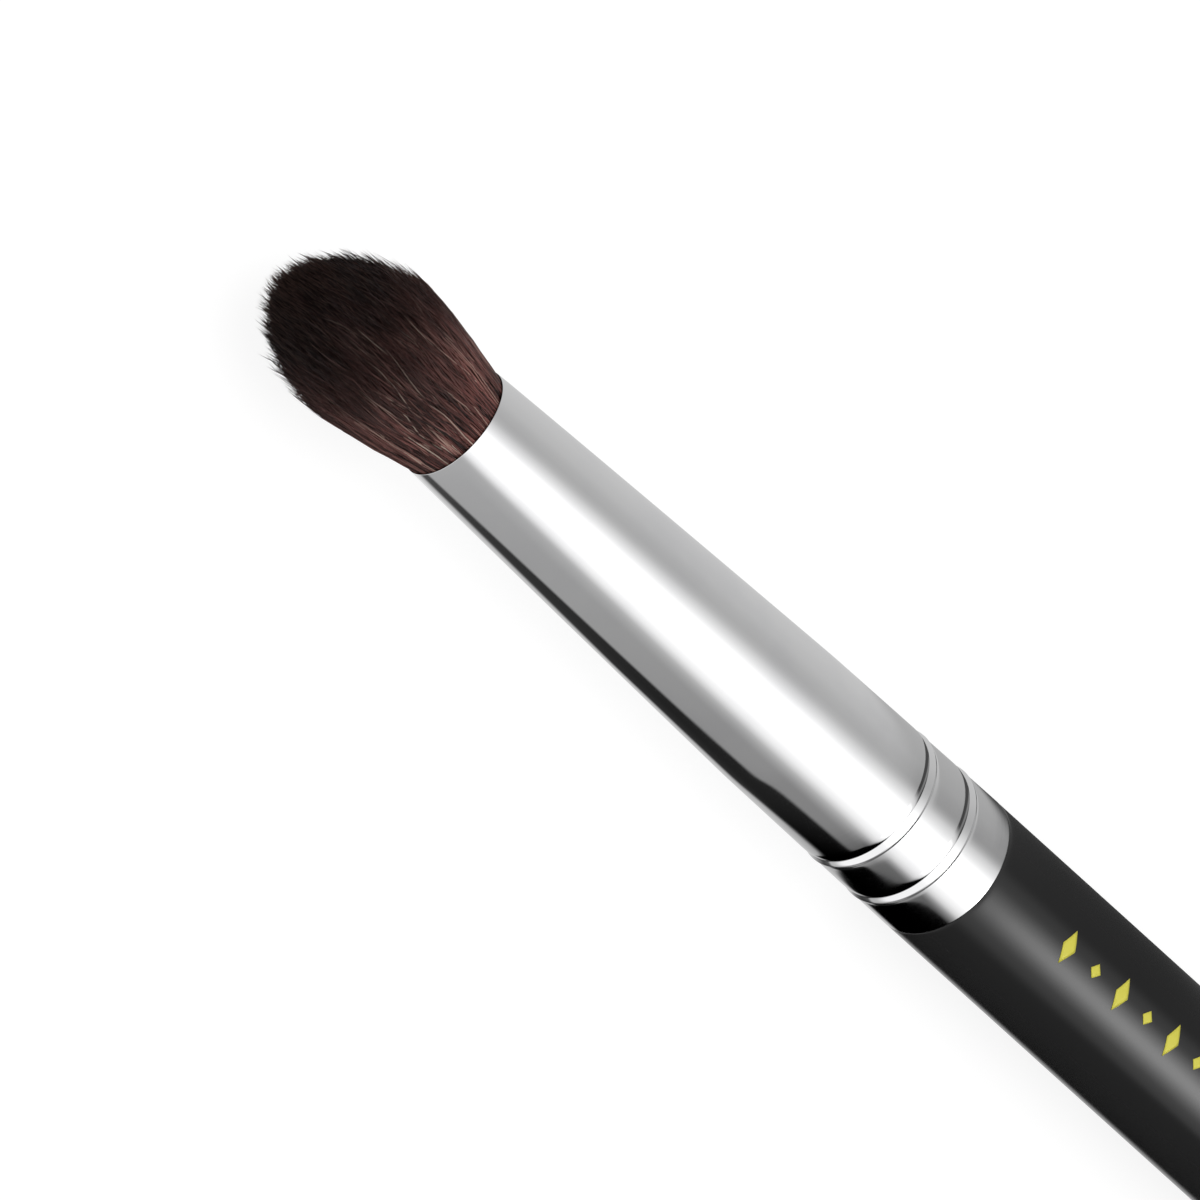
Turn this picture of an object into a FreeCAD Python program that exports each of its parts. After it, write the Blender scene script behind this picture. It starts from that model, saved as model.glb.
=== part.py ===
import FreeCAD, Part
import math, os

# Eyeshadow brush with a tapered hair tuft, a rolled metal ferrule and a turned wooden handle.
# It lies along X with its hair towards +X. Z = 0 is the surface that it lies on, and the origin
# is the middle of its length there. Every piece is round about one axis, so each is a profile
# of points (depth, radius), where depth runs from the ferrule's mouth towards the handle.

# Overall lengths, in millimetres
hair_length = 11.42  # tuft that stands out of the ferrule
ferrule_length = 40.0
handle_length = 124.0  # handle that shows behind the ferrule

# Ferrule: a drawn tube, a cone as far as the bend, a slower cone with rings, and a straight collar
ferrule_wall = 0.35
mouth_diameter = 6.16
bend_diameter = 8.46
shank_length = 6.8  # from the bend to the first ring
collar_diameter = 9.04
collar_length = 2.7  # from the last ring to the ferrule's end
ring_width = 0.9
ring_groove = 0.1  # how far each ring is rolled into the wall
ring_spacing = 3.6
rim_bevel = 0.1

# Tuft
tuft_diameter = 8.2
splay_length = 0.8  # the hair springs out over this length at the mouth
splay_diameter = 6.34
tip_diameter = 4.0  # of the ball that rounds the tip
side_share = 0.35  # where the straight side ends, as a share of the tuft's length from the mouth
belly_share = 0.517  # where the tuft is widest
arc_shares = (0, 0.33, 0.66, 1)  # the swell's faces end at these shares of its length

# Root of the hair inside the ferrule, its thread, and the resin that holds it
packed_diameter = 6.1  # tied bundle where it no longer fills the bore
thread_width = 2.4
thread_bite = 0.3  # how far the thread pulls the hair in
root_stub = 2.0  # hair behind the thread
resin_cover = 4.0  # resin in front of the thread
resin_cap = 2.5  # resin behind the hair
air_gap = 3.0  # empty bore between resin and tenon

# Handle
tenon_length = 12.0
tenon_chamfer = 0.5
glue_film = 0.08  # round the tenon's nose, where the bore is narrowest
handle_diameter = 10.28
shoulder_step = 0.03  # the lacquered shoulder stands this far above the collar
shoulder_bevel = 0.1
tail_diameter = 5.2
# Shares of the handle's length from the ferrule
rise_share = 0.32  # where its straight front part ends
swell_share = 0.355  # where it is thickest
taper_share = 0.5  # where its straight taper begins

# Places that follow from these sizes
mouth_x = (hair_length + ferrule_length + handle_length) / 2 - hair_length
axis_z = handle_diameter / 2
mouth_radius = mouth_diameter / 2
bend_radius = bend_diameter / 2
collar_radius = collar_diameter / 2
packed_radius = packed_diameter / 2
tail_radius = tail_diameter / 2
last_ring = ferrule_length - collar_length - ring_width / 2
ring_depths = (last_ring - ring_spacing, last_ring)
bend_depth = ring_depths[0] - ring_width / 2 - shank_length
tenon_front = ferrule_length - tenon_length
resin_back = tenon_front - air_gap
root_back = resin_back - resin_cap
thread_back = root_back - root_stub
thread_front = thread_back - thread_width
resin_front = thread_front - resin_cover


def place(depth, radius):
    return FreeCAD.Vector(mouth_x - depth, 0, axis_z + radius)


def line(start, end):
    return Part.LineSegment(place(*start), place(*end)).toShape()


def lines(*points):
    return [line(start, end) for start, end in zip(points, points[1:])]


def arc_through(start, middle, end):
    return Part.Arc(place(*start), place(*middle), place(*end)).toShape()


def round_end(start, end):
    """A ball-shaped end: an arc about a centre on the axis, from start to end on the axis."""
    height = end[0] - start[0]
    radius = (height**2 + start[1] ** 2) / (2 * height)
    centre = end[0] - radius
    half_angle = math.asin(min(start[1] / abs(radius), 1)) / 2
    middle = (centre + radius * math.cos(half_angle), abs(radius) * math.sin(half_angle))
    return arc_through(start, middle, end)


def smooth_arcs(start, heading, *points):
    """Arcs from point to point, each leaving in the direction in which the last one arrived."""
    edges = []
    for end in points:
        chord = math.hypot(end[0] - start[0], end[1] - start[1])
        chord_heading = math.atan2(end[1] - start[1], end[0] - start[0])
        turn = heading - chord_heading
        rise = chord / 2 * math.tan(turn / 2)
        middle = (
            (start[0] + end[0]) / 2 - rise * math.sin(chord_heading),
            (start[1] + end[1]) / 2 + rise * math.cos(chord_heading),
        )
        edges.append(arc_through(start, middle, end))
        start, heading = end, chord_heading - turn
    return edges


def turned(edges):
    """The solid that a closed profile makes about the brush's axis."""
    face = Part.Face(Part.Wire(Part.__sortEdges__(edges)))
    return face.revolve(place(0, 0), FreeCAD.Vector(1, 0, 0), 360)


def wall_radius(depth, inset):
    """Radius of the ferrule's outer line, moved inwards by inset. Its rings are left out."""
    if depth < bend_depth:
        share = depth / bend_depth
        return mouth_radius + (bend_radius - mouth_radius) * share - inset
    share = min((depth - bend_depth) / (last_ring - bend_depth), 1)
    return bend_radius + (collar_radius - bend_radius) * share - inset


def on_wall(depth, inset):
    return depth, wall_radius(depth, inset)


tenon_radius = wall_radius(tenon_front, ferrule_wall) - glue_film


def wall_line(front, back, inset):
    """The ferrule's line between two depths. Each rolled ring presses it inwards to a low V."""
    points = [on_wall(front, inset), on_wall(bend_depth, inset)]
    for depth in ring_depths:
        points.append(on_wall(depth - ring_width / 2, inset))
        points.append(on_wall(depth, inset + ring_groove))
        points.append(on_wall(depth + ring_width / 2, inset))
    return lines(*points, on_wall(back, inset))


def bore_space(front, back):
    """The space inside the ferrule between two depths."""
    edges = wall_line(0, ferrule_length, ferrule_wall)
    edges += lines(on_wall(ferrule_length, ferrule_wall), (ferrule_length, 0), (0, 0))
    edges += lines((0, 0), on_wall(0, ferrule_wall))
    slab = Part.makeCylinder(handle_diameter, back - front, place(back, 0), FreeCAD.Vector(1, 0, 0))
    return turned(edges).common(slab)


def make_ferrule():
    """A tube of one wall thickness, so that its rings stand in as ridges inside."""
    rear = ferrule_length
    rear_bevel = rear - rim_bevel
    edges = wall_line(rim_bevel, rear_bevel, 0) + wall_line(0, rear, ferrule_wall)
    edges += lines(on_wall(0, ferrule_wall), on_wall(0, rim_bevel), on_wall(rim_bevel, 0))
    edges += lines(on_wall(rear_bevel, 0), on_wall(rear, rim_bevel), on_wall(rear, ferrule_wall))
    return turned(edges)


def make_root_binding():
    """The turns of thread round the root, as one band."""
    seat = packed_radius - thread_bite
    front = ((thread_front, seat), (thread_front, packed_radius))
    back = ((thread_back, packed_radius), (thread_back, seat))
    return turned(lines(*front, *back, front[0]))


def make_tuft():
    """The hair outside the ferrule: it splays, runs straight, swells along an arc and ends in a ball."""
    mouth = on_wall(0, ferrule_wall)
    splay = (-splay_length, splay_diameter / 2)
    belly = (-hair_length * belly_share, tuft_diameter / 2)
    tip = (-hair_length, 0)
    ball = tip_diameter / 2
    # The arc is level at the belly and meets the ball without a corner
    reach = belly[0] - tip[0] - ball
    arc = (reach**2 + belly[1] ** 2 - ball**2) / (2 * (belly[1] - ball))
    sink = arc - belly[1]  # how far its centre lies beyond the axis
    ball_share = ball / (arc - ball)
    crown = (belly[0] - reach * (1 + ball_share), sink * ball_share)
    side_depth = -hair_length * side_share

    def on_arc(share):
        depth = side_depth + (crown[0] - side_depth) * share
        return depth, math.sqrt(arc**2 - (depth - belly[0]) ** 2) - sink

    edges = lines((0, 0), mouth, splay, on_arc(0))
    for front, back in zip(arc_shares, arc_shares[1:]):
        edges.append(arc_through(on_arc(front), on_arc((front + back) / 2), on_arc(back)))
    edges.append(round_end(on_arc(1), tip))
    return turned(edges + lines(tip, (0, 0)))


def make_hair_bundle(binding):
    """The tuft and its root in one. The root fills the bore until it is as wide as the tied bundle."""
    root = Part.makeCylinder(packed_radius, root_back, place(root_back, 0), FreeCAD.Vector(1, 0, 0))
    root = root.common(bore_space(0, root_back)).cut(binding)
    return make_tuft().fuse(root).removeSplitter()


def make_resin_plug(hair, binding):
    return bore_space(resin_front, resin_back).cut(hair).cut(binding)


def make_tenon():
    """The handle's spigot: turned straight, to pass inside the rings, with a chamfered nose."""
    nose = tenon_radius - tenon_chamfer
    points = ((ferrule_length, 0), (tenon_front, 0), (tenon_front, nose))
    corner = (tenon_front + tenon_chamfer, tenon_radius)
    return turned(lines(*points, corner, (ferrule_length, tenon_radius), points[0]))


def make_tenon_glue(tenon):
    return bore_space(tenon_front + tenon_chamfer, ferrule_length).cut(tenon)


def run_out(crest, end, depth):
    """Where, at that depth, an arc down from a level crest points along the straight line to end."""
    curved, straight = abs(depth - crest[0]), abs(end[0] - depth)
    return depth, crest[1] + (end[1] - crest[1]) * curved / (2 * straight + curved)


def make_handle(tenon):
    """Straight from the shoulder, over the swell, straight to the round tail, in one with its tenon."""
    shoulder = collar_radius + shoulder_step
    start = (ferrule_length + shoulder_bevel, shoulder)
    end = (ferrule_length + handle_length, 0)
    tail = (end[0] - tail_radius, tail_radius)
    swell = (ferrule_length + handle_length * swell_share, handle_diameter / 2)
    rise = run_out(swell, start, ferrule_length + handle_length * rise_share)
    taper = run_out(swell, tail, ferrule_length + handle_length * taper_share)
    heading = math.atan2(rise[1] - start[1], rise[0] - start[0])
    edges = lines(end, (ferrule_length, 0), (ferrule_length, shoulder - shoulder_bevel), start, rise)
    edges += smooth_arcs(rise, heading, swell, taper) + lines(taper, tail) + [round_end(tail, end)]
    return turned(edges).fuse(tenon).removeSplitter()


binding = make_root_binding()
hair = make_hair_bundle(binding)
tenon = make_tenon()
pieces = {
    "hair_bundle": hair,
    "root_binding": binding,
    "resin_plug": make_resin_plug(hair, binding),
    "ferrule": make_ferrule(),
    "tenon_glue": make_tenon_glue(tenon),
    "handle": make_handle(tenon),
}

os.makedirs("parts", exist_ok=True)
for name, shape in pieces.items():
    shape.exportStep("parts/" + name + ".step")
    box = shape.BoundBox
    print(name, len(shape.Solids), "solid", round(shape.Volume, 2), "mm3", shape.isValid())
    print("  x", round(box.XMin, 3), round(box.XMax, 3), "z", round(box.ZMin, 3), round(box.ZMax, 3))
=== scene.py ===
import math

import bmesh
import bpy
import numpy as np
from mathutils import Matrix, Vector


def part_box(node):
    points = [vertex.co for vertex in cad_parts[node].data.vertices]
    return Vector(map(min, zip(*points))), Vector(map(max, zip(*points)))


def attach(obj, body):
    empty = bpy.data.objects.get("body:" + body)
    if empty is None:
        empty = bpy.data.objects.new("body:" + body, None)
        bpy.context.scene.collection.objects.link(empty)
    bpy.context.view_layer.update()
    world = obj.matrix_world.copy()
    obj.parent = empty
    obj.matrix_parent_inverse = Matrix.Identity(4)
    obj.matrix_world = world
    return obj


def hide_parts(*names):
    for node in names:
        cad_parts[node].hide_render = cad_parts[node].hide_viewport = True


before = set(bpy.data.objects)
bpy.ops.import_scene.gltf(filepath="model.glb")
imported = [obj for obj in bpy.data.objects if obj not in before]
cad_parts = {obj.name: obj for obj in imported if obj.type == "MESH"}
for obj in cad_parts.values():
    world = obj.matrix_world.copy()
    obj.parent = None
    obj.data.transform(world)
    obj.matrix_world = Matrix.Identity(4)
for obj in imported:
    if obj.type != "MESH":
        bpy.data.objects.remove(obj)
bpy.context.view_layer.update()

mm = 0.001
weldDistance = 0.001 * mm  # points closer than this become one
ferruleLow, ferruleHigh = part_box("ferrule")
handleLow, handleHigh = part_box("handle")
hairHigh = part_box("hair_bundle")[1]

# The brush lies along X. Depth runs in millimetres from the ferrule's mouth towards the handle's tail
mouthX = ferruleHigh.x
axisHeight = (handleLow.z + handleHigh.z) / 2
ferruleEnd = (mouthX - ferruleLow.x) / mm
handleEnd = (mouthX - handleLow.x) / mm
tuftLength = (hairHigh.x - mouthX) / mm
print("frame loaded, brush", round((hairHigh.x - handleLow.x) / mm, 1), "mm long")


def place(depth, radius=0.0, angle=math.pi / 2):
    # angle runs about the brush from the horizontal, and is straight up at a quarter turn
    away = radius * mm
    return Vector((mouthX - depth * mm, math.cos(angle) * away, axisHeight + math.sin(angle) * away))


# Camera: the brush as the lens sees it, in the camera's own axes (right, up, back), in millimetres
cameraView = {
    "focalLength": 84.0,
    "frameWidth": 36.0,
    "clipRange": (0.01, 20.0),  # metres
    "mouth": (-7.0225, 8.5029, -132.4846),
    "towardsTail": (0.63878934, -0.56878334, -0.51810587),
    "sideAngle": 75.0,  # degrees about the brush, from the horizontal, at which the camera stands
}
sideAngle = math.radians(cameraView["sideAngle"])
facing = Vector((0, math.cos(sideAngle), math.sin(sideAngle)))  # from the brush to the camera, square to the brush
belowInView = Vector((0, math.sin(sideAngle), -math.cos(sideAngle)))  # towards the lower left of the picture


def squareFrame(first, second):
    first = first.normalized()
    second = (second - first * second.dot(first)).normalized()
    return Matrix((first, second, first.cross(second))).transposed()


def makeCamera():
    lens = bpy.data.cameras.new("camera")
    lens.sensor_width = cameraView["frameWidth"]
    lens.lens = cameraView["focalLength"]
    lens.clip_start, lens.clip_end = cameraView["clipRange"]
    inView = squareFrame(Vector(cameraView["towardsTail"]), Vector((0, 0, -1)))
    inRoom = squareFrame(Vector((-1, 0, 0)), -facing)
    turn = inRoom @ inView.transposed()
    spot = place(0) - turn @ (Vector(cameraView["mouth"]) * mm)
    camera = bpy.data.objects.new("camera", lens)
    camera.matrix_world = Matrix.Translation(spot) @ turn.to_4x4()
    bpy.context.scene.collection.objects.link(camera)
    bpy.context.scene.camera = camera


makeCamera()
print("camera placed")


# Shader maths: a Term stands for a socket and turns Python sums into Math nodes
class Term:
    def __init__(self, shade, socket):
        self.shade = shade
        self.socket = socket

    def make(self, operation, *values):
        node = self.shade.node("Math", {"operation": operation})
        for socket, value in zip(node.inputs, values):
            self.shade.feed(socket, value)
        return Term(self.shade, node.outputs[0])

    def __add__(self, other):
        return self.make("ADD", self, other)

    def __radd__(self, other):
        return self.make("ADD", other, self)

    def __sub__(self, other):
        return self.make("SUBTRACT", self, other)

    def __rsub__(self, other):
        return self.make("SUBTRACT", other, self)

    def __mul__(self, other):
        return self.make("MULTIPLY", self, other)

    def __rmul__(self, other):
        return self.make("MULTIPLY", other, self)

    def __truediv__(self, other):
        return self.make("DIVIDE", self, other)

    def __rtruediv__(self, other):
        return self.make("DIVIDE", other, self)

    def __pow__(self, other):
        return self.make("POWER", self, other)

    def wave(self):
        return self.make("SINE", self)

    def most(self, other):
        return self.make("MAXIMUM", self, other)

    def least(self, other):
        return self.make("MINIMUM", self, other)

    def rise(self, start, end):
        # 0 up to start, 1 from end on, smooth between, also where start lies above end
        node = self.shade.node(
            "MapRange",
            {"interpolation_type": "SMOOTHSTEP"},
            {"Value": self, "From Min": start, "From Max": end},
        )
        return Term(self.shade, node.outputs[0])


class Shade:
    def __init__(self, tree):
        self.tree = tree
        tree.nodes.clear()

    def feed(self, socket, value):
        if isinstance(value, Term):
            value = value.socket
        if isinstance(value, bpy.types.NodeSocket):
            self.tree.links.new(value, socket)
        else:
            socket.default_value = value

    def node(self, kind, settings=None, inputs=None):
        node = self.tree.nodes.new("ShaderNode" + kind)
        for name, value in (settings or {}).items():
            if name == "stops":
                self.setStops(node.color_ramp, value)
            else:
                setattr(node, name, value)
        for name, value in (inputs or {}).items():
            self.feed(node.inputs[name], value)
        return node

    def setStops(self, ramp, stops):
        # A stop is (position, colour), and a bare number in place of the colour is a grey
        while len(ramp.elements) < len(stops):
            ramp.elements.new(1.0)
        for element, (position, colour) in zip(ramp.elements, stops):
            element.position = position
            element.color = (*colour, 1.0) if isinstance(colour, tuple) else (colour, colour, colour, 1.0)

    def ramp(self, value, stops):
        return self.node("ValToRGB", {"stops": stops}, {"Fac": value}).outputs[0]

    def lookUp(self, value, points):
        # A number read off a table of (value, number)
        low, high = points[0][0], points[-1][0]
        top = max(number for spot, number in points)
        stops = [((spot - low) / (high - low), number / top) for spot, number in points]
        grey = self.node("SeparateColor", None, {"Color": self.ramp((value - low) / (high - low), stops)})
        return Term(self, grey.outputs[0]) * top

    def noise(self, where, scale, detail=2.0):
        return Term(self, self.node("TexNoise", None, {"Vector": where, "Scale": scale, "Detail": detail}).outputs[0])

    def stretched(self, where, scale):
        return self.node("Mapping", None, {"Vector": where, "Scale": scale}).outputs[0]

    def blend(self, share, first, second):
        node = self.node("Mix", {"data_type": "RGBA"}, {"Factor": share})
        # The colour sockets come after those for numbers and vectors
        self.feed(node.inputs[6], first)
        self.feed(node.inputs[7], second)
        return node.outputs[2]

    def tinted(self, colour, level):
        # A colour times a number
        node = self.node("VectorMath", {"operation": "SCALE"}, {"Scale": level})
        self.feed(node.inputs[0], colour)
        return node.outputs[0]

    def bump(self, height, distance, strength=1.0):
        return self.node("Bump", None, {"Height": height, "Distance": distance, "Strength": strength}).outputs[0]

    def objectPlace(self):
        return self.node("TexCoord").outputs["Object"]

    def surface(self, **inputs):
        named = {name.replace("_", " "): value for name, value in inputs.items()}
        shader = self.node("BsdfPrincipled", None, named)
        self.node("OutputMaterial", None, {"Surface": shader.outputs[0]})

    def joined(self, kind, first, second, inputs=None):
        # The material's surface from two shaders, mixed or added
        both = self.node(kind, None, inputs)
        shaders = [socket for socket in both.inputs if socket.type == "SHADER"]
        for socket, shader in zip(shaders, (first, second)):
            self.feed(socket, shader.outputs[0])
        self.node("OutputMaterial", None, {"Surface": both.outputs[0]})


def newMaterial(name):
    material = bpy.data.materials.new(name)
    material.use_nodes = True
    return material, Shade(material.node_tree)


def mottled(name, look):
    # A finish whose colour, gloss and surface vary a little with one noise
    material, shade = newMaterial(name)
    speck = shade.noise(shade.objectPlace(), look["grain"], look["detail"])
    rough = look["roughness"] + look["roughnessSpread"] * speck
    normal = shade.bump(speck, look["bumpHeight"], look["bumpStrength"])
    shade.surface(Base_Color=shade.blend(speck, *look["colours"]), Roughness=rough, Normal=normal)
    return material


def aboutBrush(shade):
    # Millimetres along the brush from its mouth, and the angle about it, in turns
    split = shade.node("SeparateXYZ", None, {"Vector": shade.objectPlace()})
    along, side, up = (Term(shade, socket) for socket in split.outputs)
    turn = (up - axisHeight).make("ARCTAN2", up - axisHeight, side) / math.tau
    return (mouthX - along) / mm, turn


# Room: a studio that mirrors see as bands along the brush, and that matt surfaces see as even light.
# Its angles are in degrees. "About" goes round the brush from the camera's side, and more than 0 is towards
# the lower left of the picture. "Lean" is towards the tail, and each part of the brush looks to its own lean
room = {
    "floorSize": 4.0,
    "floorColour": 0.8,
    "floorGrain": 0.01,
    "floorGrainScale": 40,
    # The camera sees a darker floor with light added, so that it is white and keeps a faint shadow
    "floorShade": 0.24,
    "floorLift": 0.84,
    "fill": 0.55,  # even light from all round
    # Brightness by about, where 1 is white
    "bands": (
        (-180, 0.62), (-120, 0.59), (-90, 0.545), (-74, 0.49), (-61, 0.465), (-53, 0.505), (-47, 0.59), (-41, 0.73),
        (-35, 0.87), (-29, 1.03), (-23, 1.25), (-15, 1.4), (15, 1.4), (23, 1.25), (29, 1.1), (35, 0.98), (41, 0.76),
        (47, 0.52), (53, 0.455), (61, 0.445), (97, 0.45), (138, 0.46), (165, 0.6), (180, 0.8),
    ),
    # The bands' lower half is narrower below this lean
    "narrowing": {"lean": 30.5, "span": 10.0, "most": 1.1, "power": 1.6, "share": 0.38},
    # The softbox itself by about, which only the handle sees
    "softbox": (
        (-35, 0.0), (-29, 0.05), (-23, 0.2), (-17, 0.42), (-11, 0.68), (-5, 0.95), (0, 1.0), (5, 0.95), (11, 0.66),
        (17, 0.38), (23, 0.17), (29, 0.03), (35, 0.0),
    ),
    "softboxTop": 6.6,
    # By lean: where the black card below begins and ends, and how grey it is
    "cardStart": (
        (17, 127), (20.5, 121), (25.8, 111), (31, 103), (33, 96), (35, 84), (36.9, 77), (38.1, 57), (50, 40), (66, 24),
    ),
    "cardEnd": (
        (17, 131), (20.5, 134), (25.8, 137), (31, 149), (35, 142), (36.9, 126), (38.1, 150), (48, 146), (54, 125),
        (60, 112), (66, 96), (73, 72), (90, 60),
    ),
    "cardGrey": ((14, 1.0), (17, 0.5), (20.5, 0.25), (25.8, 0.105), (31, 0.058), (35, 0.06), (36.9, 0.0)),
    "cardStartBlur": 4.0,
    "cardEndBlur": 7.0,
    # Where the lower side begins to darken, and over how much lean it does
    "darkening": (20.5, 14.5),
    # Soft steps by lean, from the tip of the hair to the tail
    "leanSteps": {
        "tipSide": (-14, -22),
        "beyondHair": (3, 8),
        "beforeMouth": (20.5, 17),
        "behindBend": (35.6, 36.6),
        "behindRings": (38.7, 39.4),
        "handle": (39, 48),
        "softboxStart": (39.1, 39.95),
        "ringFoot": (44, 47),
        "softboxEnd": (54, 48),
        "ringSides": (50, 55),
        "ringLine": (56, 64),
        "ends": (76, 81),
    },
    # Soft steps by about
    "aboutSteps": {
        "upperSide": (-40, -60),
        "middleFromAbove": (-42, -28),
        "middleFromBelow": (42, 28),
        "paleWall": (14, 28),
        "handleLowerSide": (38, 50),
        "lowerSideBehindBend": (40, 56),
        "lowerSide": (44, 66),
        "underside": (118, 140),
    },
    # How much each place darkens, and how bright the pale wall and the ends are
    "amounts": {
        "lowerSide": 0.42,
        "lowerSideBehindBend": 0.27,
        "upperSideBehindBend": 0.26,
        "upperSideBehindRings": 0.62,
        "ringFoot": 0.5,
        "handleLowerSide": 0.75,
        "ringLine": 0.9,
        "tipSide": 0.6,
        "paleWall": 0.6,
        "ends": 0.05,
    },
}


def studioBands(shade):
    # The direction in which a mirror looks
    split = shade.node("SeparateXYZ", None, {"Vector": shade.node("TexCoord").outputs["Generated"]})
    along, side, up = (Term(shade, socket) for socket in split.outputs)
    front = side * facing.y + up * facing.z
    below = side * belowInView.y + up * belowInView.z
    about = below.make("ARCTAN2", below, front) * math.degrees(1)
    lean = (along * -1).make("ARCSINE", along * -1) * math.degrees(1)
    at = {name: lean.rise(*step) for name, step in room["leanSteps"].items()}
    on = {name: about.rise(*step) for name, step in room["aboutSteps"].items()}
    amount = room["amounts"]

    # The bands, with their lower half narrowed
    narrow = room["narrowing"]
    less = ((narrow["lean"] - lean).most(0) / narrow["span"]).least(narrow["most"]) ** narrow["power"]
    bands = shade.lookUp(about.most(0) * (1 + narrow["share"] * less) + about.least(0), room["bands"])

    # The lower side darkens towards the ferrule's bend, and once more behind it
    lower = on["lowerSide"] * (1 - at["behindBend"]) + on["lowerSideBehindBend"] * at["behindBend"]
    lower = lower * (1 - on["underside"])
    first, span = room["darkening"]
    dimmed = amount["lowerSide"] * (lean - first).most(0).least(span) / span
    dimmed = dimmed + amount["lowerSideBehindBend"] * at["behindBend"]
    bands = bands * (1 - lower * dimmed)

    # The upper side darkens behind the bend and behind the rings, and less on the rings' sides
    start = shade.lookUp(lean, room["cardStart"])
    end = shade.lookUp(lean, room["cardEnd"])
    startBlur, endBlur = room["cardStartBlur"], room["cardEndBlur"]
    gentle = 1 - at["ringSides"]
    hollow = amount["upperSideBehindRings"] * at["behindRings"] * (1 - amount["ringFoot"] * at["ringFoot"] * gentle)
    hollow = hollow * (1 - at["ringSides"] * (about * -1 - end).rise(-endBlur, endBlur))
    bands = bands * (1 - on["upperSide"] * (amount["upperSideBehindBend"] * at["behindBend"] + hollow))
    handleLower = at["handle"] * gentle * on["handleLowerSide"] * (1 - on["underside"])
    bands = bands * (1 - amount["handleLowerSide"] * handleLower)

    # The black card below
    grey = shade.lookUp(lean, room["cardGrey"])
    card = (about - start).rise(-startBlur, startBlur) * (1 - (about - end).rise(-endBlur, endBlur))
    bands = bands * (1 - card * (1 - grey))

    # The pale wall beyond the hair, the rings' dark lines, the softbox, and both ends of the room
    bands = bands + at["beforeMouth"] * at["beyondHair"] * on["paleWall"] * amount["paleWall"]
    bands = bands * (1 - amount["ringLine"] * at["ringLine"] * on["middleFromAbove"] * on["middleFromBelow"])
    softbox = shade.lookUp(about, room["softbox"]) * room["softboxTop"]
    bands = bands + softbox * at["softboxStart"] * at["softboxEnd"]
    return bands * (1 - at["ends"]) * (1 - amount["tipSide"] * at["tipSide"]) + amount["ends"] * at["ends"]


def makeWorld():
    world = bpy.data.worlds.new("studio")
    bpy.context.scene.world = world
    world.use_nodes = True
    shade = Shade(world.node_tree)
    path = shade.node("LightPath")
    glossy = Term(shade, path.outputs["Is Glossy Ray"])
    seen = Term(shade, path.outputs["Is Camera Ray"]).most(Term(shade, path.outputs["Is Transmission Ray"]))
    level = glossy * studioBands(shade) + (1 - glossy) * (seen + (1 - seen) * room["fill"])
    light = shade.node("Background", None, {"Color": (1, 1, 1, 1), "Strength": level})
    shade.node("OutputWorld", None, {"Surface": light.outputs[0]})


lamps = {
    # name: place in metres, size in metres, share of plain light at the brush
    "overhead": ((0.05, -0.14, 0.8), 0.7, 0.38),
    "front": ((0.55, 0.35, 0.5), 0.4, 0.14),
}


def makeLamps():
    for name, (spot, size, share) in lamps.items():
        spot = Vector(spot)
        light = bpy.data.lights.new(name, "AREA")
        light.shape = "DISK"
        light.size = size
        light.energy = share * math.pi**2 * spot.length**2  # a lamp further off needs more power
        lamp = bpy.data.objects.new(name, light)
        lamp.matrix_world = Matrix.Translation(spot) @ spot.to_track_quat("Z", "Y").to_matrix().to_4x4()
        lamp.visible_glossy = False  # mirrors see the studio's bands instead
        bpy.context.scene.collection.objects.link(lamp)


def makeFloor():
    shape = bmesh.new()
    bmesh.ops.create_grid(shape, x_segments=1, y_segments=1, size=room["floorSize"] / 2)
    floor = addObject("floor", shape)
    material, shade = newMaterial("pale_floor")
    seen = Term(shade, shade.node("LightPath").outputs["Is Camera Ray"])
    grain = shade.noise(shade.objectPlace(), room["floorGrainScale"]) * room["floorGrain"]
    level = seen * room["floorShade"] + (1 - seen) * room["floorColour"] - grain
    matt = shade.node("BsdfDiffuse", None, {"Color": shade.tinted((1, 1, 1), level)})
    glow = shade.node("Emission", None, {"Strength": seen * room["floorLift"]})
    shade.joined("AddShader", matt, glow)
    floor.data.materials.append(material)
    floor.visible_glossy = False


def addObject(name, shape):
    mesh = bpy.data.meshes.new(name)
    shape.to_mesh(mesh)
    shape.free()
    for polygon in mesh.polygons:
        polygon.use_smooth = True
    thing = bpy.data.objects.new(name, mesh)
    bpy.context.scene.collection.objects.link(thing)
    return thing


def turned(name, outline, steps, closed=False, rounds=2):
    # Spins an outline of (depth, radius) about the brush's axis, and rounds it with a subdivision surface
    shape = bmesh.new()
    row = [shape.verts.new(place(depth, radius)) for depth, radius in outline]
    pairs = list(zip(row, row[1:])) + ([(row[-1], row[0])] if closed else [])
    edges = [shape.edges.new(pair) for pair in pairs]
    bmesh.ops.spin(
        shape, geom=row + edges, cent=place(0), axis=(1, 0, 0), angle=math.tau, steps=steps, use_merge=True
    )
    bmesh.ops.remove_doubles(shape, verts=shape.verts, dist=weldDistance)
    bmesh.ops.recalc_face_normals(shape, faces=shape.faces)
    thing = addObject(name, shape)
    smooth = thing.modifiers.new("rounding", "SUBSURF")
    smooth.levels = rounds
    smooth.render_levels = rounds
    return thing


makeWorld()
makeLamps()
makeFloor()
print("room lit")


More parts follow.
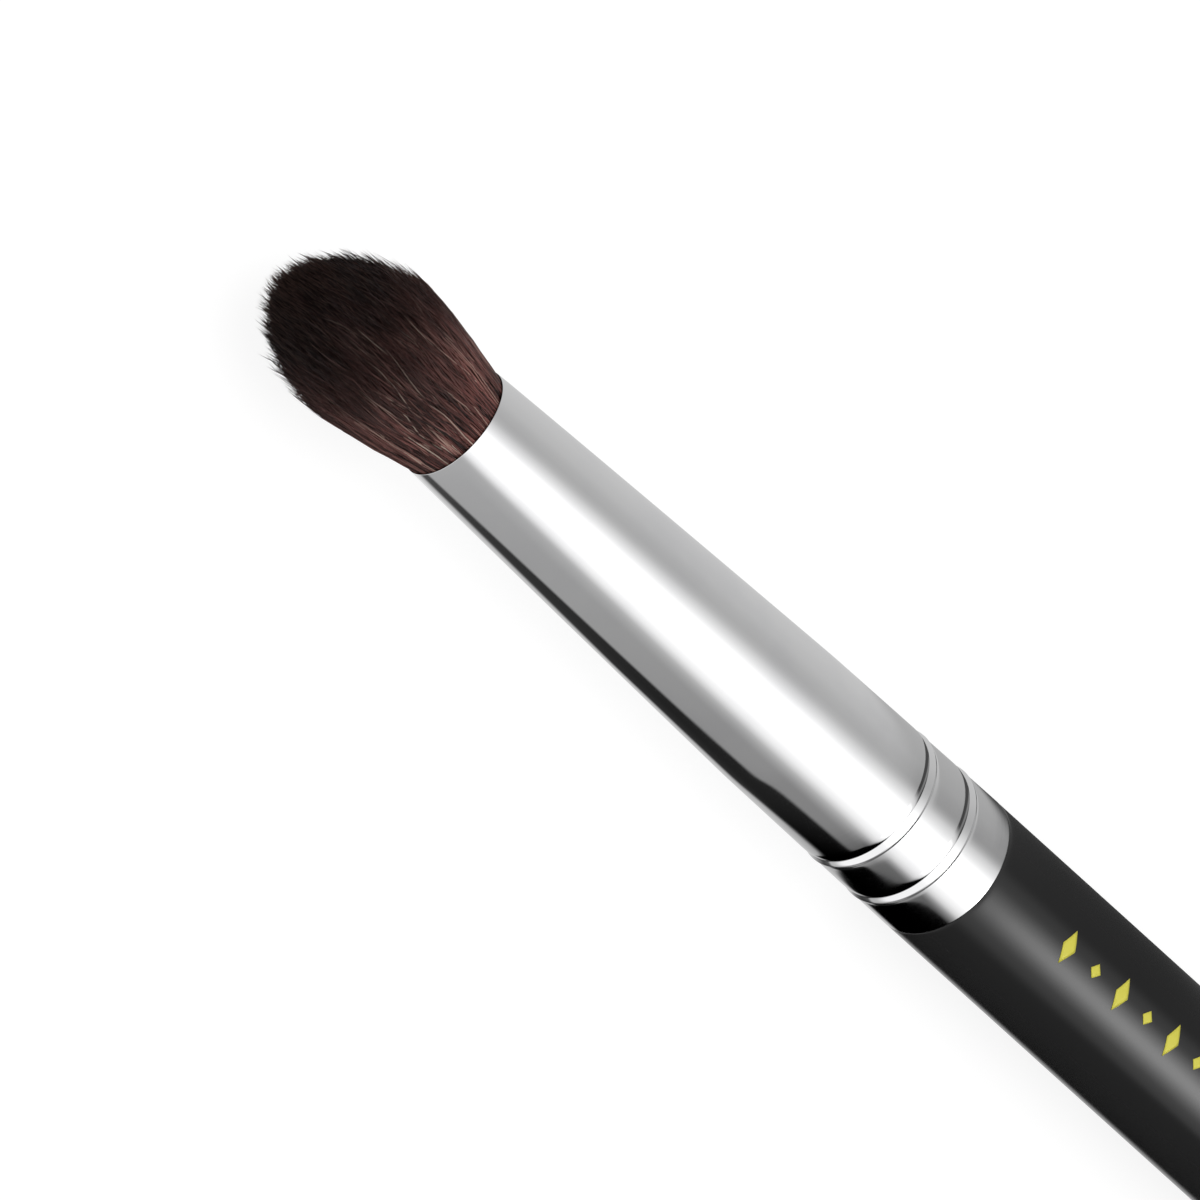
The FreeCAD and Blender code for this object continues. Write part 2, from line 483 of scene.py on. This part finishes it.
# Ferrule: polished metal tube with two rolled rings
ferrule = {
    "mouthRadius": 3.095,
    "flare": 0.02,  # what the mouth opens up quickly at its lip
    "flareLength": 1.5,
    "slopes": (0.046, 0.04, 0.0222),  # of the wall at the mouth, at the bend and behind it
    "bend": 25.6,
    "ringDepths": (33.25, 36.85),
    # A ring's section by distance from its middle and depth into the wall
    "ringSection": (
        (-0.85, 0.0), (-0.7, 0.003), (-0.58, 0.009), (-0.48, 0.018), (-0.4, 0.028), (-0.345, 0.038), (-0.31, 0.047),
        (-0.285, 0.051), (-0.26, 0.049), (-0.2, 0.034), (0.0, -0.018), (0.1, -0.043), (0.14, -0.05), (0.172, -0.051),
        (0.18, -0.0505), (0.188, -0.048), (0.2, -0.043), (0.32, 0.0075), (0.327, 0.0098), (0.335, 0.0105),
        (0.39, 0.008), (0.5, 0.001),
    ),
    "extraEnd": 0.15,  # the collar runs on over the handle's shoulder
    "mouth": 0.14,  # the hair hides the first part of the mouth
    # The lip's edge and its inside by distance behind the mouth and how far they lie below the wall's line
    "lipEdge": ((0.0, 0.008), (0.008, 0.001)),
    "lipSteps": (0.018, 0.05),
    "lipInside": (0.005, 0.035),
    # Rows along the wall between the lip and the rings, and before the end
    "rows": (
        0.3, 0.5, 0.9, 1.6, 3.0, 5.0, 7.2, 9.4, 11.6, 13.8, 16.0, 18.2, 20.4, 22.6, 24.5, 25.3, 26.0, 27.0, 29.0, 31.0,
    ),
    "endRows": (1.2, 0.6, 0.15, 0.06, 0.015),
    "endEdge": 0.01,
    "wall": 0.35,
    "innerStart": 1.6,  # the wall is full behind this depth
    "thinWall": ((1.2, 0.28), (0.5, 0.07)),  # thickness of the wall by depth, in front of it
    "innerEvery": 3,  # the unseen inside follows only every third row
    "steps": 56,
    # Look
    "colours": ((0.865, 0.865, 0.87, 1), (0.835, 0.835, 0.845, 1)),
    "smudgeScale": 260,
    "smudges": (0.42, 0.7),
    "roughness": 0.045,
    "smudgeRoughness": 0.03,
    "roughSmudges": (0.45, 0.75),
    "latheRoughness": 0.015,
    "lathe": (6000, 200, 200),  # fine marks that run round the tube
    "latheHeight": 0.0000005,
    "latheStrength": 0.3,
}


def wallRadius(depth):
    first, second, behind = ferrule["slopes"]
    cone = min(depth, ferrule["bend"])
    radius = ferrule["mouthRadius"] + first * cone - (first - second) * cone**2 / (2 * ferrule["bend"])
    radius += ferrule["flare"] * (1 - math.exp(-cone / ferrule["flareLength"]))
    return radius + behind * max(depth - ferrule["bend"], 0)


def ferruleOutline():
    size = ferrule
    mouth, end = size["mouth"], ferruleEnd + size["extraEnd"]
    lipRadius = wallRadius(mouth)
    outer = [(mouth + step, lipRadius - sunk) for step, sunk in size["lipEdge"]]
    outer += [(mouth + step, wallRadius(mouth + step)) for step in size["lipSteps"]]
    outer += [(depth, wallRadius(depth)) for depth in size["rows"]]
    for middle in size["ringDepths"]:
        outer += [(middle + step, wallRadius(middle + step) - sunk) for step, sunk in size["ringSection"]]
    outer += [(end - step, wallRadius(end - step)) for step in size["endRows"]]
    outer += [(end, wallRadius(end) - size["endEdge"]), (end, wallRadius(end) - size["wall"])]
    inner = [
        (depth, radius - size["wall"])
        for depth, radius in outer[:: size["innerEvery"]]
        if size["innerStart"] < depth < end - size["wall"]
    ]
    lip = [(depth, wallRadius(depth) - thickness) for depth, thickness in size["thinWall"]]
    step, sunk = size["lipInside"]
    return outer + inner[::-1] + lip + [(mouth + step, lipRadius - sunk)]


def polishedMetal():
    size = ferrule
    material, shade = newMaterial("bright_metal")
    where = shade.objectPlace()
    lathe = shade.noise(shade.stretched(where, size["lathe"]), 1.0, 2)
    smudge = shade.noise(where, size["smudgeScale"], 3)
    tone = shade.blend(smudge.rise(*size["smudges"]), *size["colours"])
    rough = size["roughness"] + size["smudgeRoughness"] * smudge.rise(*size["roughSmudges"])
    rough = rough + size["latheRoughness"] * lathe
    normal = shade.bump(lathe, size["latheHeight"], size["latheStrength"])
    shade.surface(Base_Color=tone, Metallic=1.0, Roughness=rough, Normal=normal)
    return material


def makeFerrule():
    tube = turned("ferrule_polished", ferruleOutline(), ferrule["steps"], closed=True)
    tube.data.materials.append(polishedMetal())
    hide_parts("ferrule")
    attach(tube, "root")


makeFerrule()
print("ferrule turned")


# Handle: turned wood in thick glossy lacquer
handle = {
    "tenonDepth": 28.0,
    "tenonRadius": 3.85,
    # Distance behind the tenon's nose, and how much slimmer it is there
    "nose": ((0.0, 0.7), (0.1, 0.4), (0.6, 0.0), (1.4, 0.0)),
    # Distance from the shoulder, and how much wider the tenon is there
    "tenonRoot": ((-0.3, 0.0), (0.0, 0.1)),
    "shoulderRadius": 4.53,
    # Distance behind the shoulder's face, and how far below the shoulder's radius
    "shoulderEdge": ((0.0, 0.08), (0.03, 0.01), (0.16, 0.0)),
    # Outline behind the shoulder by share of the shown length and share of the largest radius
    "sideShares": (
        (0.01, 0.884), (0.08, 0.91), (0.2, 0.9525), (0.29, 0.985), (0.335, 0.9985), (0.375, 1.0015), (0.43, 0.9925),
        (0.52, 0.957), (0.66, 0.815), (0.8, 0.68), (0.92, 0.56), (0.968, 0.512), (0.986, 0.44), (0.9955, 0.27),
        (0.9993, 0.12),
    ),
    "largestRadius": 5.14,
    "tailEnd": 0.05,  # rounding draws the tail's end in by this much
    "steps": 72,
    # Look: black with a slight haze and some dust
    "colours": ((0.0185, 0.0185, 0.0185, 1), (0.021, 0.021, 0.0213, 1)),
    "haze": (60, 200, 200),
    "dustColour": (0.06, 0.06, 0.062, 1),
    "dustShare": 0.15,
    "dustScale": 3600,
    "dust": (0.76, 0.84),
    "roughness": 0.1,
    "hazeRoughness": 0.05,
    "dustRoughness": 0.1,
    "ripple": (260, 420, 420),  # slight waves in the lacquer
    "rippleHeight": 0.000004,
    "rippleStrength": 0.35,
    "refraction": 1.33,
}


def handleSide():
    start = ferruleEnd + ferrule["extraEnd"]
    long = handleEnd - start
    return [(start + long * share, handle["largestRadius"] * width) for share, width in handle["sideShares"]]


def handleOutline():
    size = handle
    start = ferruleEnd + ferrule["extraEnd"]
    tenon, nose = size["tenonRadius"], size["tenonDepth"]
    outline = [(nose, 0.0)] + [(nose + step, tenon - slimmer) for step, slimmer in size["nose"]]
    outline += [(start + step, tenon + wider) for step, wider in size["tenonRoot"]]
    outline += [(start + step, size["shoulderRadius"] - lower) for step, lower in size["shoulderEdge"]]
    return outline + handleSide() + [(handleEnd + size["tailEnd"], 0.0)]


def handleRadius(depth):
    side = handleSide()
    return float(np.interp(depth, [point[0] for point in side], [point[1] for point in side]))


def blackLacquer():
    size = handle
    material, shade = newMaterial("black_lacquer")
    where = shade.objectPlace()
    ripple = shade.noise(shade.stretched(where, size["ripple"]), 1.0, 1)
    dust = shade.noise(where, size["dustScale"], 1).rise(*size["dust"])
    haze = shade.noise(shade.stretched(where, size["haze"]), 1.0, 3)
    tone = shade.blend(haze, *size["colours"])
    tone = shade.blend(dust * size["dustShare"], tone, size["dustColour"])
    rough = size["roughness"] + size["hazeRoughness"] * haze + size["dustRoughness"] * dust
    normal = shade.bump(ripple, size["rippleHeight"], size["rippleStrength"])
    shade.surface(Base_Color=tone, Roughness=rough, Normal=normal, IOR=size["refraction"])
    return material


def makeHandle():
    grip = turned("handle_lacquered", handleOutline(), handle["steps"])
    grip.data.materials.append(blackLacquer())
    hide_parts("handle")
    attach(grip, "root")


# Marks: a row of plain lozenges in ink, every other one small, in millimetres
marks = {
    "first": 47.2,  # depth of the first one
    "spacing": 2.6,
    "count": 11,
    "height": 2.1,
    "width": 1.1,
    "smallSize": 0.9,
    "turn": -15.0,  # degrees from the camera's side, towards the upper right
    "thickness": 0.02,
    "cuts": 5,
    # Look
    "colours": ((0.6, 0.555, 0.052, 1), (0.66, 0.61, 0.075, 1)),
    "grain": 2600,
    "detail": 2,
    "roughness": 0.35,
    "roughnessSpread": 0.15,
    "bumpHeight": 0.000006,
    "bumpStrength": 0.4,
}


def makeMarks():
    size = marks
    middle = sideAngle - math.radians(size["turn"])
    shape = bmesh.new()
    for number in range(size["count"]):
        made = bmesh.ops.create_circle(shape, cap_ends=True, segments=4, radius=0.5)["verts"]
        small = number % 2 == 1
        wide = size["smallSize"] if small else size["width"]
        tall = size["smallSize"] if small else size["height"]
        bmesh.ops.scale(shape, vec=(wide, tall, 1), verts=made)
        bmesh.ops.translate(shape, vec=(size["first"] + number * size["spacing"], 0, 0), verts=made)
    bmesh.ops.subdivide_edges(shape, edges=shape.edges, cuts=size["cuts"], use_grid_fill=True)
    bmesh.ops.triangulate(shape, faces=[face for face in shape.faces if len(face.verts) > 4])
    grown = bmesh.ops.extrude_face_region(shape, geom=shape.faces[:])["geom"]
    top = {part for part in grown if isinstance(part, bmesh.types.BMVert)}
    for vert in shape.verts:
        depth, across = vert.co.x, vert.co.y
        radius = handleRadius(depth)
        lift = size["thickness"] if vert in top else -size["thickness"]
        vert.co = place(depth, radius + lift, middle + across / radius)
    bmesh.ops.recalc_face_normals(shape, faces=shape.faces)
    row = addObject("handle_marks", shape)
    row.data.materials.append(mottled("yellow_ink", size))
    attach(row, "root")


makeHandle()
makeMarks()
print("handle lacquered")


# Tuft: tapered hairs that leave the ferrule, swell and end in a soft dome, in millimetres
tuft = {
    "strands": 15000,
    "pieces": 6,
    "knots": 9,
    "radius": 0.036,
    "widths": (0.75, 1.2),  # of the finest and the thickest hair, as shares of that radius
    "taper": ((0, 0.4, 0.7, 0.875, 1), (1, 0.96, 0.78, 0.46, 0.03)),  # shares of the length and of the width
    "rootDepth": 1.3,  # outer hairs start this far inside the mouth
    "outerShare": 0.78,  # share of the width beyond which a hair is an outer one
    "innerLength": 4.2,  # only the end of an inner hair is drawn
    # Outline by distance out of the mouth and radius
    "dome": (
        (-2.0, 2.66), (-1.0, 2.72), (-0.14, 2.95), (0.8, 3.12), (2.2, 3.43), (4.0, 3.72), (5.6, 3.9), (7.0, 3.62),
        (8.4, 3.02), (9.5, 2.4), (10.25, 1.72), (10.75, 1.02), (10.98, 0.45), (11.04, 0.0),
    ),
    "domeStart": 6.0,  # no hair ends before this
    "domeFineness": 200,
    # How wide the outermost hairs would run if they didn't end at the dome
    "flow": (
        (-2.0, 2.66), (-1.0, 2.72), (-0.14, 3.03), (0.25, 3.09), (0.8, 3.15), (2.2, 3.43), (4.0, 3.72), (5.6, 3.92),
        (7.0, 3.97), (8.4, 3.88), (9.5, 3.75), (11.42, 3.4),
    ),
    "hang": 0.42,  # how far the tip hangs towards the lower left
    "hangLength": 11.0,
    "hangPower": 4,
    "clumps": 420,
    "clumpPull": 0.6,
    "clumpPullPower": 6,
    "clumpEnds": 0.06,  # how much clumps differ in length
    "spike": 0.24,  # how much shorter a clump's outer hairs are
    "spikeReach": 1.6,
    "unevenEnds": 0.28,
    "longestEnd": 0.8,
    "trim": 0.08,
    "standingOut": (0.1, 0.35),  # a hair stands out when its end is longer by this, and fully by this much more
    "tilt": 0.38,  # how much shorter the hair is on its upper right side
    "stray": 0.055,  # how far a hair's end strays from its own place, as a share of the tuft's width
    "strayCurve": ((0.4, 0.5), (0.6, 1.5)),  # parts and powers by which it grows along the hair
    "wobble": 0.055,
    "wobbleRates": (0.5, 1.3),
    "wobbleStart": 2.0,
    "squeeze": 0.8,  # how strongly hairs outside the flow are drawn back in
    "seed": 11,
    # Look: tones from 0 to 1 for each hair and for each small group of hairs
    "toneClumps": 2400,
    "toneSpread": (1.6, 2.2),
    "paleShare": 0.035,
    "paleTones": (1.0, 1.3),
    "colours": (
        (0.0, (0.005, 0.0024, 0.0022)), (0.25, (0.018, 0.0072, 0.0062)), (0.45, (0.062, 0.024, 0.02)),
        (0.62, (0.165, 0.062, 0.054)), (0.78, (0.29, 0.15, 0.125)), (1.0, (0.56, 0.46, 0.38)),
    ),
    "evenColour": (0.112, 0.052, 0.047, 1),  # hairs differ less further out
    "evenShare": 0.4,
    "evenReach": (0.06, 0.5),
    "darkening": 0.9,  # painted shade towards the tip, where the hair ends shade each other
    "tipShadeReach": (0.02, 0.9),
    "patches": (260, 620, 620),
    "patchSteps": (0.3, 0.72),
    "patchLevels": (0.68, 0.7),  # brightness of a dark patch, and how much brighter a pale one is
    "roughness": 0.42,
    "roughnessSpread": 0.15,
    "refraction": 1.33,
    "fineLength": 2.0,  # the end of a hair lets light through over about this length
    "fineSteps": (0.42, 0.04),
    "fineShare": 0.4,
    "fineColour": (0.46, 0.345, 0.305, 1),
}


def tableOf(points, out):
    return np.interp(out, [point[0] for point in points], [point[1] for point in points])


def inDisc(random, count):
    # Random spots in a disc of radius 1, with their distances from its middle
    share, angle = np.sqrt(random.random(count)), random.random(count) * math.tau
    return np.stack([share * np.cos(angle), share * np.sin(angle)], 1), share


def gathered(random, spots, count):
    # Random middles in the disc, and the number of the nearest one to each spot
    middles = inDisc(random, count)[0]
    return middles, np.array([int(np.argmin(((middles - spot) ** 2).sum(1))) for spot in spots])


def hairPaths(random):
    # Points (strand, knot, xyz) in metres. A strand keeps its share of the bundle's width as it runs out
    size = tuft
    count, knots = size["strands"], size["knots"]
    start, share = inDisc(random, count)
    middles, clump = gathered(random, start, size["clumps"])
    toneClump = gathered(random, start, size["toneClumps"])[1]

    # Where each hair ends: at the dome, with uneven ends, pointed clumps and a tilt
    out = np.linspace(size["domeStart"], tuftLength, size["domeFineness"])
    ratio = tableOf(size["dome"], out) / tableOf(size["flow"], out)
    end = np.interp(-share, -ratio, out)
    below = np.array((belowInView.y, belowInView.z))
    apart = np.linalg.norm(middles[clump] - start, axis=1) * math.sqrt(size["clumps"])
    extra = random.exponential(size["unevenEnds"], count).clip(0, size["longestEnd"])
    end += extra - size["trim"] - size["spike"] * apart.clip(0, size["spikeReach"])
    end += random.normal(0, size["clumpEnds"], size["clumps"])[clump] - size["tilt"] * (-start @ below).clip(0)
    root = np.where(share > size["outerShare"], -size["rootDepth"], end - size["innerLength"])
    reach = root[:, None] + (end - root)[:, None] * np.linspace(0, 1, knots)
    out = np.clip((reach + 1) / (end[:, None] + 1), 0, 1)

    # Each hair's place across the bundle: drawn to its clump's middle, astray, and wavy
    pull = size["clumpPull"] * out ** size["clumpPullPower"]
    spot = start[:, None] + (middles[clump] - start)[:, None] * pull[:, :, None]
    drift = sum(part * out**power for part, power in size["strayCurve"])
    spot = spot + random.normal(0, size["stray"], (count, 1, 2)) * drift[:, :, None]
    phase = random.random((count, 1, 2)) * math.tau
    waves = np.sin(reach[:, :, None] * random.uniform(*size["wobbleRates"], (count, 1, 1)) + phase)
    spot = spot + size["wobble"] * waves * np.clip(reach / size["wobbleStart"], 0, 1)[:, :, None]
    tooWide = np.maximum(np.linalg.norm(spot, axis=2, keepdims=True), 1)
    spot = spot / tooWide ** size["squeeze"]

    width = tableOf(size["flow"], reach)[:, :, None]
    paths = np.empty((count, knots, 3))
    paths[:, :, 0] = mouthX + reach * mm
    hang = size["hang"] * np.clip(reach / size["hangLength"], 0, 1)[:, :, None] ** size["hangPower"] * below
    paths[:, :, 1:] = (spot * width + hang) * mm
    paths[:, :, 2] += axisHeight
    longer, over = size["standingOut"]
    return paths, toneClump, reach, ((extra - longer) / over).clip(0, 1)


def strandMesh(name, paths, widths, tones, reach, standsOut):
    # Curves with a fine bevel, made a mesh, with each strand's tones kept on its points
    curve = bpy.data.curves.new(name, "CURVE")
    curve.dimensions = "3D"
    curve.bevel_depth = tuft["radius"] * mm
    curve.bevel_resolution = 0
    count, knots = paths.shape[:2]
    flat = np.concatenate([paths, np.ones((count, knots, 1))], 2).astype(np.float32)
    for number in range(count):
        spline = curve.splines.new("POLY")
        spline.points.add(knots - 1)
        spline.points.foreach_set("co", flat[number].ravel())
        spline.points.foreach_set("radius", widths[number])
    holder = bpy.data.objects.new(name + "_curve", curve)
    bpy.context.scene.collection.objects.link(holder)
    mesh = bpy.data.meshes.new_from_object(holder)
    bpy.data.objects.remove(holder)
    around = len(mesh.vertices) // (count * knots)
    closed = bmesh.new()
    closed.from_mesh(mesh)
    bmesh.ops.holes_fill(closed, edges=closed.edges, sides=around)
    closed.to_mesh(mesh)
    closed.free()
    mesh.name = name
    # Tones: the hair's own, its group's, how far out the point is, and near 0 at the ends of hairs that stand out
    tints = np.ones((count, knots, around, 4), np.float32)
    tints[..., 0] = tones[:, 0, None, None]
    tints[..., 1] = tones[:, 1, None, None]
    tints[..., 2] = (reach / tuftLength).clip(0, 1)[:, :, None]
    fine = (reach[:, -1:] - reach) / tuft["fineLength"] + 0.5 * (1 - standsOut)[:, None]
    tints[..., 3] = fine.clip(0, 1)[:, :, None]
    layer = mesh.attributes.new("hairTone", "FLOAT_COLOR", "POINT")
    layer.data.foreach_set("color", tints.ravel())
    layBakeMap(mesh, count, knots, around)
    thing = bpy.data.objects.new(name, mesh)
    bpy.context.scene.collection.objects.link(thing)
    return thing


def layBakeMap(mesh, count, knots, around):
    # Each strand has its own cell of the map, with its length upwards and a margin on every side
    sideMargin, endMargin = 0.15, 0.1
    columns = math.ceil(math.sqrt(count))
    corner = np.empty(len(mesh.loops), np.int32)
    mesh.loops.foreach_get("vertex_index", corner)
    strand, rest = np.divmod(corner, knots * around)
    knot, side = np.divmod(rest, around)
    row, column = np.divmod(strand, columns)
    across = (column + sideMargin + (1 - 2 * sideMargin) * side / (around - 1)) / columns
    upward = (row + endMargin + (1 - 2 * endMargin) * knot / (knots - 1)) / columns
    layer = mesh.uv_layers.new(name="OFBake")
    layer.data.foreach_set("uv", np.stack([across, upward], 1).astype(np.float32).ravel())


def brownHair():
    size = tuft
    material, shade = newMaterial("brown_hair")
    tone = shade.node("Attribute", {"attribute_name": "hairTone"})
    parts = shade.node("SeparateColor", None, {"Color": tone.outputs["Color"]})
    strand, group, reach = (Term(shade, socket) for socket in parts.outputs[:3])
    brown = shade.ramp(strand * 0.5 + group * 0.5, size["colours"])
    patch = shade.noise(shade.stretched(shade.objectPlace(), size["patches"]), 1.0, 2).rise(*size["patchSteps"])
    darkest, paler = size["patchLevels"]
    # Painted shade: the hairs' colour darkens towards the tip, times random paler and darker patches
    level = (1 - size["darkening"] * reach.rise(*size["tipShadeReach"])) * (darkest + paler * patch)
    brown = shade.blend(reach.rise(*size["evenReach"]) * size["evenShare"], brown, size["evenColour"])
    hair = shade.node(
        "BsdfPrincipled",
        None,
        {
            "Base Color": shade.tinted(brown, level),
            "Roughness": size["roughness"] + size["roughnessSpread"] * strand,
            "IOR": size["refraction"],
        },
    )
    thin = shade.node("BsdfTranslucent", None, {"Color": size["fineColour"]})  # light comes through the fine ends
    ends = Term(shade, tone.outputs["Alpha"]).rise(*size["fineSteps"])
    shade.joined("MixShader", hair, thin, {"Fac": ends * size["fineShare"]})
    return material


def makeTuft():
    random = np.random.default_rng(tuft["seed"])
    paths, toneClump, reach, standsOut = hairPaths(random)
    count, knots = paths.shape[:2]
    taper = np.interp(np.linspace(0, 1, knots), *tuft["taper"])
    widths = (taper * random.uniform(*tuft["widths"], (count, 1))).astype(np.float32)
    strand = random.beta(*tuft["toneSpread"], count)
    pale = random.random(count) < tuft["paleShare"]
    strand[pale] = random.uniform(*tuft["paleTones"], pale.sum())
    tones = np.stack([strand, random.random(tuft["toneClumps"])[toneClump]], 1)
    material = brownHair()
    order = random.permutation(count)
    for number, some in enumerate(np.array_split(order, tuft["pieces"])):
        name = f"hair_strands_{number + 1}"
        hair = strandMesh(name, paths[some], widths[some], tones[some], reach[some], standsOut[some])
        hair.data.materials.append(material)
        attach(hair, "root")
        if number == 0:
            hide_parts("hair_bundle")


# Core: the dark inside of the tuft, where no single hair can be told. It stands for the hidden hairs, coloured darker
# than them as painted shade for the depth of the tuft
hairCore = {
    "widthShare": 0.86,  # of the dome
    "domeEnd": 9.8,  # it follows the dome up to here
    "back": ((12.0, 0.0), (12.0, 2.5), (1.5, 2.5)),  # depth and radius inside the ferrule
    "front": ((-10.0, 1.2), (-10.3, 0.0)),
    "steps": 32,
    # painted shade: near black, darker than the hairs
    "colours": ((0.004, 0.0026, 0.0024, 1), (0.022, 0.011, 0.0095, 1)),
    "streaks": (300, 9000, 9000),
    "roughness": 0.7,
    "streakHeight": 0.00003,
    "streakStrength": 0.6,
}


def coreHair():
    size = hairCore
    material, shade = newMaterial("deep_hair_painted_shade")
    streaks = shade.noise(shade.stretched(shade.objectPlace(), size["streaks"]), 1.0, 2)
    normal = shade.bump(streaks, size["streakHeight"], size["streakStrength"])
    # Painted shade: a near-black colour for the shaded inside of the tuft, with random streaks
    shade.surface(Base_Color=shade.blend(streaks, *size["colours"]), Roughness=size["roughness"], Normal=normal)
    return material


def makeCore():
    size = hairCore
    side = [(-out, radius * size["widthShare"]) for out, radius in tuft["dome"] if 0 <= out < size["domeEnd"]]
    core = turned("hair_core", [*size["back"], *side, *size["front"]], size["steps"], rounds=1)
    core.data.materials.append(coreHair())
    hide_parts("hair_bundle")
    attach(core, "root")


makeTuft()
makeCore()
print("tuft grown")


# Inner pieces, which stay as they are and get their finish
thread = {
    "pitch": 0.18,  # millimetres from one turn to the next
    "fuzz": 4000,
    # the first colour is painted shade in the grooves between turns, the second the thread where it rises
    "colours": ((0.5, 0.44, 0.33, 1), (0.76, 0.71, 0.6, 1)),
    "roughness": 0.8,
    "turnHeight": 0.00006,
    "turnStrength": 0.8,
}
resin = {
    "grain": 400,
    "detail": 3,
    "colours": ((0.5, 0.33, 0.12, 1), (0.68, 0.5, 0.24, 1)),
    "roughness": 0.16,
    "roughnessSpread": 0.12,
    "bumpHeight": 0.00003,
    "bumpStrength": 0.3,
}
glue = {
    "grain": 900,
    "detail": 4,
    "colours": ((0.7, 0.62, 0.4, 1), (0.84, 0.79, 0.6, 1)),
    "roughness": 0.5,
    "roughnessSpread": 0.2,
    "bumpHeight": 0.00004,
    "bumpStrength": 0.5,
}


def waxedThread():
    size = thread
    material, shade = newMaterial("waxed_thread")
    along, turn = aboutBrush(shade)
    lay = ((along / size["pitch"] + turn) * math.tau).wave() * 0.5 + 0.5
    fuzz = shade.noise(shade.objectPlace(), size["fuzz"], 3)
    normal = shade.bump(lay, size["turnHeight"], size["turnStrength"])
    # Painted shade: the colour is darker in the grooves between turns, where the bump is low, and varies with the fuzz
    shade.surface(Base_Color=shade.blend(lay * fuzz, *size["colours"]), Roughness=size["roughness"], Normal=normal)
    return material


innerPieces = {
    "root_binding": waxedThread(),
    "resin_plug": mottled("amber_resin", resin),
    "tenon_glue": mottled("joint_glue", glue),
}
for node, material in innerPieces.items():
    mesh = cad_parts[node].data
    mesh.materials.clear()
    mesh.materials.append(material)
print("inner pieces finished")

bpy.context.scene.view_settings.view_transform = "Standard"

bpy.context.view_layer.update()
